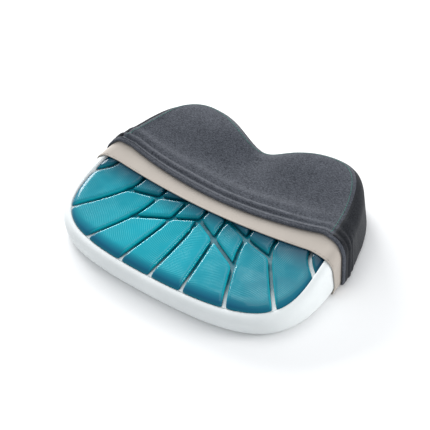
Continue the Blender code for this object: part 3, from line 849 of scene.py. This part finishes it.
def mouth_line(bm, spacing):
    """Points, outward normals and lengths along a cut fabric's mouth, from the left base to the right."""
    bm.normal_update()
    edges = [edge for edge in bm.edges if edge.is_boundary]
    links = {}
    for edge in edges:
        for vert in edge.verts:
            links.setdefault(vert, []).append(edge.other_vert(vert))
    base = min(vert.co.z for vert in links) + 0.0002
    on_mouth = {vert for vert in links if vert.co.z > base}
    ends = [vert for vert in on_mouth if any(other not in on_mouth for other in links[vert])]
    vert = min(ends, key=lambda item: item.co.x)
    path, seen = [vert], {vert}
    while True:
        onwards = [other for other in links[vert] if other in on_mouth and other not in seen]
        if not onwards:
            break
        vert = onwards[0]
        seen.add(vert)
        path.append(vert)
    points = np.array([item.co for item in path])
    normals = np.array([item.normal for item in path])
    along = lengths_along(points)
    wanted = np.linspace(0.0, along[-1], int(along[-1] / spacing))
    points = read_along(points, along, wanted)
    normals = read_along(normals, along, wanted)
    for _ in range(6):
        points[1:-1] = (points[:-2] + points[1:-1] * 2 + points[2:]) / 4
        normals[1:-1] = (normals[:-2] + normals[1:-1] * 2 + normals[2:]) / 4
    return points, normals / np.linalg.norm(normals, axis=1)[:, None], wanted


HEM_UV_STEP = 0.001         # length across a hem from one point of its profile to the next, in its UV map


def sweep_hem(line, profile):
    """A hem along a mouth line; the profile's points are (forward, outwards) from the line, one row of them
    for each point of the line."""
    points, normals, along = line
    tangent = np.gradient(points, axis=0)
    tangent /= np.linalg.norm(tangent, axis=1)[:, None]
    forward = np.cross(normals, tangent)
    forward *= np.where(forward[:, 1] > 0, -1, 1)[:, None]
    grid = points[:, None] + forward[:, None] * profile[..., :1] + normals[:, None] * profile[..., 1:]
    return quad_surface(grid, along[:, None], np.arange(profile.shape[1]) * HEM_UV_STEP)


def close_ends(bm):
    """Welds a swept roll's long seam and caps its two ends."""
    bmesh.ops.remove_doubles(bm, verts=bm.verts, dist=0.000001)
    bmesh.ops.holes_fill(bm, edges=[edge for edge in bm.edges if edge.is_boundary], sides=0)
    bmesh.ops.recalc_face_normals(bm, faces=bm.faces)


def build_liner(settings):
    plan = Plan(560)
    material = jersey_finish(settings.colour)
    bm = ring_surface(plan, fabric_rows(plan, LINER_OFFSET, LINER_BASE))
    cut_mouth(bm, LINER_MOUTH)
    line = mouth_line(bm, 0.002)
    sleeve = new_piece("liner_sleeve", bm, material)
    thicken(sleeve, LINER_THICKNESS)
    finish_piece(sleeve, "inner_liner", "liner_fabric", "liner_shell")
    radius = settings.hem_radius
    turn = np.linspace(0, math.tau, 13)
    profile = np.column_stack([radius * 1.2 * (1 + np.cos(turn)), radius * (1.05 + np.sin(turn))])
    bm = sweep_hem(line, np.broadcast_to(profile, (len(line[0]), *profile.shape)))
    close_ends(bm)
    hem = new_piece("liner_rolled_hem", bm, material)
    finish_piece(hem, "inner_liner", "liner_fabric", "liner_hem")


# Folds behind the cover's front edge: distance behind it, half width, height on top and height on the wall
FOLDS = (
    (0.0060, 0.0042, 1.00, 0.60),
    (0.0185, 0.0036, 1.05, 1.00),
    (0.0345, 0.0070, 0.60, 0.25),
    (0.0110, 0.0022, 0.00, 0.55),
    (0.0275, 0.0032, 0.10, 0.60),
)
EVEN_FOLD = 0.01            # a fold nearer the front edge than this keeps its height on the right


def plan_noise(points, x_scale, y_scale, level):
    return np.array([noise.noise(Vector((x * x_scale, y * y_scale, level))) for x, y, _ in points])


def folds_behind(points):
    """Distance behind the cover's front edge, closer set at the left, with a slight wander."""
    behind = points[:, 1] - mouth_y(points, COVER_MOUTH)
    wander = plan_noise(points, 9, 9, 3.7)
    closer = 1 + 0.25 * smooth_step(-points[:, 0], 0.04, 0.20)
    return behind * closer + 0.0018 * wander * smooth_step(behind, 0.006, 0.02)


def ridges(points, settings):
    """How far the drawn back cover stands out in folds behind its front edge."""
    x = points[:, 0]
    behind = folds_behind(points)
    wall = smooth_step(np.abs(x), 0.203, 0.222)
    height = np.zeros(len(points))
    fade = 1 - 0.60 * smooth_step(x, 0.06, 0.17)
    for middle, width, on_top, on_wall in FOLDS:
        share = on_top * (fade if middle > EVEN_FOLD else 1) * (1 - wall) + on_wall * wall
        height += share * np.exp(-((behind - middle) / width) ** 2)
    small = plan_noise(points, 34, 70, 9.1)
    calm = 1 - smooth_step(behind, 0.03, 0.10)
    return settings.fold_height * height + 0.0004 * small * calm


def away_from(points, line):
    """Distance in plan of points from a finely spaced line."""
    tree = KDTree(len(line))
    for index, (x, y) in enumerate(line):
        tree.insert((x, y, 0.0), index)
    tree.balance()
    return np.array([tree.find((x, y, 0.0))[2] for x, y, _ in points])


def outwards_at(points, normals):
    """Normals that turn level towards a wall's foot, so that what stands out there stays off the floor."""
    level = normals * np.column_stack([np.ones((len(points), 2)), smooth_step(points[:, 2], 0.002, ROUND)])
    return level / np.linalg.norm(level, axis=1)[:, None]


PUFF_HEIGHT, PUFF_PLACE, PUFF_WIDTH = 0.0006, 0.0045, 0.0028
SEAM_DEPTH, SEAM_WIDTH = 0.0004, 0.0014


def seam_puff(away):
    """Fabric pulled in at a seam and puffed up beside it; away is the distance from the seam in plan."""
    puff = PUFF_HEIGHT * np.exp(-((away - PUFF_PLACE) / PUFF_WIDTH) ** 2)
    return puff - SEAM_DEPTH * np.exp(-(away / SEAM_WIDTH) ** 2)


def build_cover(settings):
    plan = Plan(760)
    top_knit = knit_finish("heather knit", settings.dark_colour, settings.light_colour)
    # The gusset's knit is a darker copy of the top's knit: painted shade on the cover's walls.
    shaded_wall_knit = knit_finish("heather knit on the walls with painted shade", toned(settings.dark_colour, settings.wall_shade_tone),
                            toned(settings.light_colour, settings.wall_shade_tone), "cloth")
    whole = ring_surface(plan, fabric_rows(plan, COVER_OFFSET, COVER_BASE))
    cut_mouth(whole, COVER_MOUTH, HEM_REACH)
    line = mouth_line(whole, 0.0015)
    whole.free()

    seam = seam_inset(plan)
    bm = ring_surface(plan, fabric_rows(plan, COVER_OFFSET, COVER_BASE, seam, wall=False))
    cut_mouth(bm, COVER_MOUTH, HEM_REACH)
    panel = new_piece("cover_top", bm, top_knit)
    bm = ring_surface(plan, fabric_rows(plan, COVER_OFFSET, COVER_BASE, seam, top=False))
    cut_mouth(bm, COVER_MOUTH, HEM_REACH)
    gusset = new_piece("cover_gusset", bm, shaded_wall_knit)
    fine = Plan(3000)
    seam_line = fine.points - fine.outwards * seam_inset(fine)[:, None]
    for piece in (panel, gusset):
        points = read_points(piece.data)
        lift = ridges(points, settings) + seam_puff(away_from(points, seam_line))
        write_points(piece.data, points + outwards_at(points, read_normals(piece.data)) * lift[:, None])
        thicken(piece, COVER_THICKNESS)
    finish_piece(panel, "outer_cover", "knit_fabric", "cover_top_panel")
    finish_piece(gusset, "outer_cover", "knit_fabric", "cover_side_gusset")

    points, normals, along = line
    line = points, outwards_at(points, normals), along
    crest = COVER_THICKNESS + ridges(points, settings) - 0.0001
    turn = np.linspace(0, math.pi, 17)
    profile = np.empty((len(points), len(turn), 2))
    for index, angle in enumerate(turn):
        profile[:, index, 0] = 0.0002 + (HEM_REACH - 0.0002) * math.sin(angle) ** 0.7
        profile[:, index, 1] = crest * (1 + math.cos(angle)) / 2 - 0.0002 * (1 - math.cos(angle))
    hem = new_piece("cover_rolled_hem", sweep_hem(line, profile), top_knit)
    finish_piece(hem, "outer_cover", "knit_fabric", "cover_hem")


def build_topstitch(settings):
    """Dashes of thread just inside the seam, each a long bead that lies along it."""
    plan = Plan(1600)
    outer = COVER_OFFSET + COVER_THICKNESS + settings.thread_radius + 0.0006
    inset = seam_inset(plan) + STITCH_INSET
    row = edge_row(plan, outer, turn_at(inset, outer), inset)
    cover = bpy.context.scene.cushion.cover
    row[:, 2] += ridges(row, cover) * smooth_step(np.abs(row[:, 0]), 0.0, 0.1)
    row = row[row[:, 1] > mouth_y(row, COVER_MOUTH) + HEM_REACH + 0.001]
    along = lengths_along(row)
    bm = bmesh.new()
    for begin in np.arange(0.0, along[-1] - settings.dash, settings.dash + settings.gap):
        ends = [Vector(end) for end in read_along(row, along, (begin, begin + settings.dash))]
        direction = (ends[1] - ends[0]).normalized()
        stretch = Matrix.Diagonal((settings.thread_radius, settings.thread_radius, settings.dash / 2, 1.0))
        turned = direction.to_track_quat("Z", "Y").to_matrix().to_4x4()
        place = Matrix.Translation((ends[0] + ends[1]) / 2) @ turned @ stretch
        bmesh.ops.create_uvsphere(bm, u_segments=6, v_segments=5, radius=1.0, matrix=place)
    piece = new_piece("cover_topstitch_thread", bm, thread_finish(settings.colour))
    finish_piece(piece, "outer_cover", "thread", "cover_topstitch")


def build_bottom_panels(settings):
    plan = Plan(420)
    parts = (
        ("liner_bottom", 0.0018, -0.0020, LINER_MOUTH, "liner_bottom_panel", "liner_fabric", 0.061),
        ("cover_bottom", 0.0001, 0.0004, COVER_MOUTH, "cover_bottom_panel", "knit_fabric", 0.051),
    )
    for name, base, distance, mouth, node, slot, area in parts:
        rows = [plan.towards_centre(distance, share, lambda at: np.full(len(at), base))
                for share in np.linspace(1, 0, 40)]
        bm = ring_surface(plan, rows)
        cut_mouth(bm, mouth, HEM_REACH if slot == "knit_fabric" else 0.0)
        if slot == "knit_fabric":
            material = knit_finish("bottom knit", settings.dark_colour, settings.light_colour)
        else:
            material = jersey_finish(settings.liner_colour)
        piece = new_piece(name, bm, material)
        thicken(piece, 0.0009)
        finish_piece(piece, "base", slot, node)


# ---- stage ----

def build_stage(settings):
    """Floor, soft studio light and the camera."""
    scene = bpy.context.scene
    bm = bmesh.new()
    bmesh.ops.create_grid(bm, x_segments=4, y_segments=4, size=6.0)
    bmesh.ops.translate(bm, vec=(0.0, 0.0, CAD_BOX[0][2] - 0.0004), verts=bm.verts)
    paper = Finish("studio paper")
    grain = paper.noise(paper.place(), 3.0, 2.0)
    paper.set(Base_Color=paper.blend(grain, (0.90, 0.90, 0.90), (0.93, 0.93, 0.93)), Roughness=0.9)
    floor = new_piece("studio_floor", bm, paper.material)

    world = bpy.data.worlds.new("studio")
    world.use_nodes = True
    world.node_tree.nodes["Background"].inputs["Color"].default_value = (0.94, 0.97, 1.0, 1.0)
    world.node_tree.nodes["Background"].inputs["Strength"].default_value = settings.ambient
    scene.world = world

    lights = (
        ("overhead softbox", (-0.35, 0.6, 2.2), (1.4, 1.4), settings.key_light),
        ("left strip", (-1.75, 1.0, 0.72), (1.4, 0.8), settings.strip_light),
        ("rear right softbox", (1.9, 1.05, 0.80), (0.9, 0.9), settings.side_light),
    )
    for name, place, size, power in lights:
        lamp = bpy.data.lights.new(name, "AREA")
        lamp.shape = "RECTANGLE"
        lamp.size, lamp.size_y = size
        lamp.energy = power
        holder = bpy.data.objects.new(name, lamp)
        holder.location = place
        aim = Vector((0.0, 0.0, 0.04)) - Vector(place)
        holder.rotation_euler = aim.to_track_quat("-Z", "Y").to_euler()
        scene.collection.objects.link(holder)
    scene.view_settings.view_transform = "Standard"

    azimuth, elevation, roll = (math.radians(value) for value in (settings.azimuth, settings.elevation,
                                                                  settings.roll))
    back = Vector((math.sin(azimuth) * math.cos(elevation), -math.cos(azimuth) * math.cos(elevation),
                   math.sin(elevation)))
    right = Vector((math.cos(azimuth), math.sin(azimuth), 0.0))
    up = back.cross(right)
    turned_right = right * math.cos(roll) + up * math.sin(roll)
    turned_up = up * math.cos(roll) - right * math.sin(roll)
    target = Vector((0.0, 0.0, 0.04)) + turned_right * 0.00343 - turned_up * 0.00624
    camera = bpy.data.objects.new("camera", bpy.data.cameras.new("camera"))
    camera.data.lens = settings.lens
    camera.data.sensor_width = 36.0
    camera.matrix_world = Matrix.Translation(target + back * settings.distance) @ Matrix(
        (turned_right, turned_up, back)).transposed().to_4x4()
    scene.collection.objects.link(camera)
    scene.camera = camera


# ---- settings ----

def length(name, description, default):
    return FloatProperty(name=name, description=description, default=default, unit="LENGTH", precision=4)


def number(name, description, default, unit="NONE"):
    return FloatProperty(name=name, description=description, default=default, unit=unit)


def colour(name, description, default):
    return FloatVectorProperty(name=name, description=description, default=default, subtype="COLOR", min=0.0,
                               max=1.0)


class FoamSettings(bpy.types.PropertyGroup):
    colour: colour("Colour", "Colour of the foam", (0.77, 0.80, 0.80))


class CellSettings(bpy.types.PropertyGroup):
    mesh_spacing: length("Mesh spacing", "Size of the cells' faces", 0.0009)
    corner: length("Corner", "Softness of a cell's corners in plan", 0.0018)
    edge_radius: length("Edge width", "Width over which a cell's top edge rounds off", 0.0032)
    edge_drop: length("Edge drop", "How far a cell's top edge rounds off", 0.0019)
    nose_reach: length("Nose reach", "How far in from its outer end a cell starts to fall", 0.021)
    nose_drop: length("Nose drop", "How far a cell falls at its outer end", 0.0048)
    ripple_spacing: length("Ripple spacing", "Distance between two moulded ripples", 0.0028)
    ripple_height: length("Ripple height", "Relief of the ripples", 0.0002)
    # The top colour is painted light: the tops take it inside the painted pool of light, and the outer top
    # colour away from it.
    painted_light_top_colour: colour("Top colour", "Colour of the gel's top", (0.0, 0.265, 0.335))
    outer_top_colour: colour("Outer top colour", "Colour of the tops far from the glow", (0.012, 0.185, 0.25))
    rim_colour: colour("Rim colour", "Colour where a cell's edge is thin", (0.0, 0.36, 0.42))
    wall_colour: colour("Wall colour", "Colour of a cell's walls", (0.0, 0.14, 0.20))
    # Painted shade on a cell's outer end.
    shaded_end_colour: colour("End colour", "Colour of a cell's outer end", (0.0, 0.085, 0.17))


class WebSettings(bpy.types.PropertyGroup):
    pale: length("Pale", "How far in from its edge the web is white", 0.006)
    fade: length("Fade", "Width over which it turns teal", 0.040)
    colour: colour("Colour", "Colour of the web", (0.0, 0.18, 0.24))
    pale_colour: colour("Pale colour", "Colour where the web is thin", (0.90, 0.95, 0.95))


class LinerSettings(bpy.types.PropertyGroup):
    hem_radius: length("Hem radius", "Radius of the liner's rolled hem", 0.0010)
    colour: colour("Colour", "Colour of the liner", (0.44, 0.395, 0.35))


class CoverSettings(bpy.types.PropertyGroup):
    fold_height: length("Fold height", "Height of the folds behind the mouth", 0.0038)
    # Painted shade: share of the top's colour that the gusset's knit keeps.
    wall_shade_tone: number("Wall tone", "Share of the top's colour that the gusset has", 0.25)
    dark_colour: colour("Dark fibres", "Colour of the knit's dark fibres", (0.0165, 0.020, 0.027))
    light_colour: colour("Light fibres", "Colour of the knit's light fibres", (0.122, 0.130, 0.153))


class StitchSettings(bpy.types.PropertyGroup):
    dash: length("Dash", "Length of one stitch", 0.0030)
    gap: length("Gap", "Distance between two stitches", 0.0010)
    thread_radius: length("Thread radius", "Radius of the thread", 0.0003)
    colour: colour("Colour", "Colour of the thread", (0.02, 0.36, 0.25))


class BottomSettings(bpy.types.PropertyGroup):
    dark_colour: colour("Dark fibres", "Colour of the knit's dark fibres", (0.035, 0.040, 0.052))
    light_colour: colour("Light fibres", "Colour of the knit's light fibres", (0.14, 0.15, 0.175))
    liner_colour: colour("Liner colour", "Colour of the liner", (0.44, 0.395, 0.35))


class StageSettings(bpy.types.PropertyGroup):
    azimuth: number("Azimuth", "Camera's angle round the cushion in degrees", 47.16)
    elevation: number("Elevation", "Camera's angle over the floor in degrees", 43.19)
    roll: number("Roll", "Camera's turn about its own axis in degrees", -11.14)
    distance: length("Distance", "Camera's distance from the cushion", 1.9136)
    lens: number("Lens", "Focal length", 109.39, "CAMERA")
    ambient: number("Ambient", "Strength of the light from all round", 0.70)
    key_light: number("Key light", "Power of the softbox", 12.0, "POWER")
    strip_light: number("Strip light", "Power of the strip", 56.0, "POWER")
    side_light: number("Side light", "Power of the right softbox", 24.0, "POWER")


class CushionSettings(bpy.types.PropertyGroup):
    foam: PointerProperty(type=FoamSettings)
    cells: PointerProperty(type=CellSettings)
    web: PointerProperty(type=WebSettings)
    liner: PointerProperty(type=LinerSettings)
    cover: PointerProperty(type=CoverSettings)
    stitch: PointerProperty(type=StitchSettings)
    bottom: PointerProperty(type=BottomSettings)
    stage: PointerProperty(type=StageSettings)


# ---- operators ----

class CUSHION_OT_stage(bpy.types.Operator):
    """Adds the floor, the lights and the camera"""
    bl_idname = "cushion.stage"
    bl_label = "Stage"

    def execute(self, context):
        build_stage(context.scene.cushion.stage)
        return {"FINISHED"}


class CUSHION_OT_foam(bpy.types.Operator):
    """Builds the foam base"""
    bl_idname = "cushion.foam"
    bl_label = "Foam base"

    def execute(self, context):
        build_foam(context.scene.cushion.foam)
        return {"FINISHED"}


class CUSHION_OT_web(bpy.types.Operator):
    """Builds the thin gel sheet under the cells"""
    bl_idname = "cushion.web"
    bl_label = "Gel web"

    def execute(self, context):
        build_web(context.scene.cushion.web)
        return {"FINISHED"}


class CUSHION_OT_cells(bpy.types.Operator):
    """Builds every gel cell"""
    bl_idname = "cushion.cells"
    bl_label = "Gel cells"

    def execute(self, context):
        build_cells(context.scene.cushion.cells)
        return {"FINISHED"}


class CUSHION_OT_liner(bpy.types.Operator):
    """Builds the inner liner and its hem"""
    bl_idname = "cushion.liner"
    bl_label = "Liner"

    def execute(self, context):
        build_liner(context.scene.cushion.liner)
        return {"FINISHED"}


class CUSHION_OT_cover(bpy.types.Operator):
    """Builds the outer cover's top panel, gusset and hem"""
    bl_idname = "cushion.cover"
    bl_label = "Cover"

    def execute(self, context):
        build_cover(context.scene.cushion.cover)
        return {"FINISHED"}


class CUSHION_OT_topstitch(bpy.types.Operator):
    """Builds the topstitch inside the cover's seam"""
    bl_idname = "cushion.topstitch"
    bl_label = "Topstitch"

    def execute(self, context):
        build_topstitch(context.scene.cushion.stitch)
        return {"FINISHED"}


class CUSHION_OT_bottom(bpy.types.Operator):
    """Builds the bottom panels of the liner and the cover"""
    bl_idname = "cushion.bottom"
    bl_label = "Bottom panels"

    def execute(self, context):
        build_bottom_panels(context.scene.cushion.bottom)
        return {"FINISHED"}


STEPS = (CUSHION_OT_stage, CUSHION_OT_foam, CUSHION_OT_web, CUSHION_OT_cells, CUSHION_OT_liner,
         CUSHION_OT_cover, CUSHION_OT_topstitch, CUSHION_OT_bottom)


class CUSHION_PT_panel(bpy.types.Panel):
    """Lists the steps that build the cushion"""
    bl_idname = "CUSHION_PT_panel"
    bl_label = "Gel seat cushion"
    bl_space_type = "VIEW_3D"
    bl_region_type = "UI"
    bl_category = "Cushion"

    def draw(self, context):
        for step in STEPS:
            self.layout.operator(step.bl_idname)


CLASSES = (FoamSettings, CellSettings, WebSettings, LinerSettings, CoverSettings, StitchSettings,
           BottomSettings, StageSettings, CushionSettings, *STEPS, CUSHION_PT_panel)


def register():
    for each in CLASSES:
        bpy.utils.register_class(each)
    bpy.types.Scene.cushion = PointerProperty(type=CushionSettings)


def unregister():
    del bpy.types.Scene.cushion
    for each in reversed(CLASSES):
        bpy.utils.unregister_class(each)


def main():
    register()
    for step in STEPS:
        group, name = step.bl_idname.split(".")
        getattr(getattr(bpy.ops, group), name)()


if __name__ == "__main__":
    main()
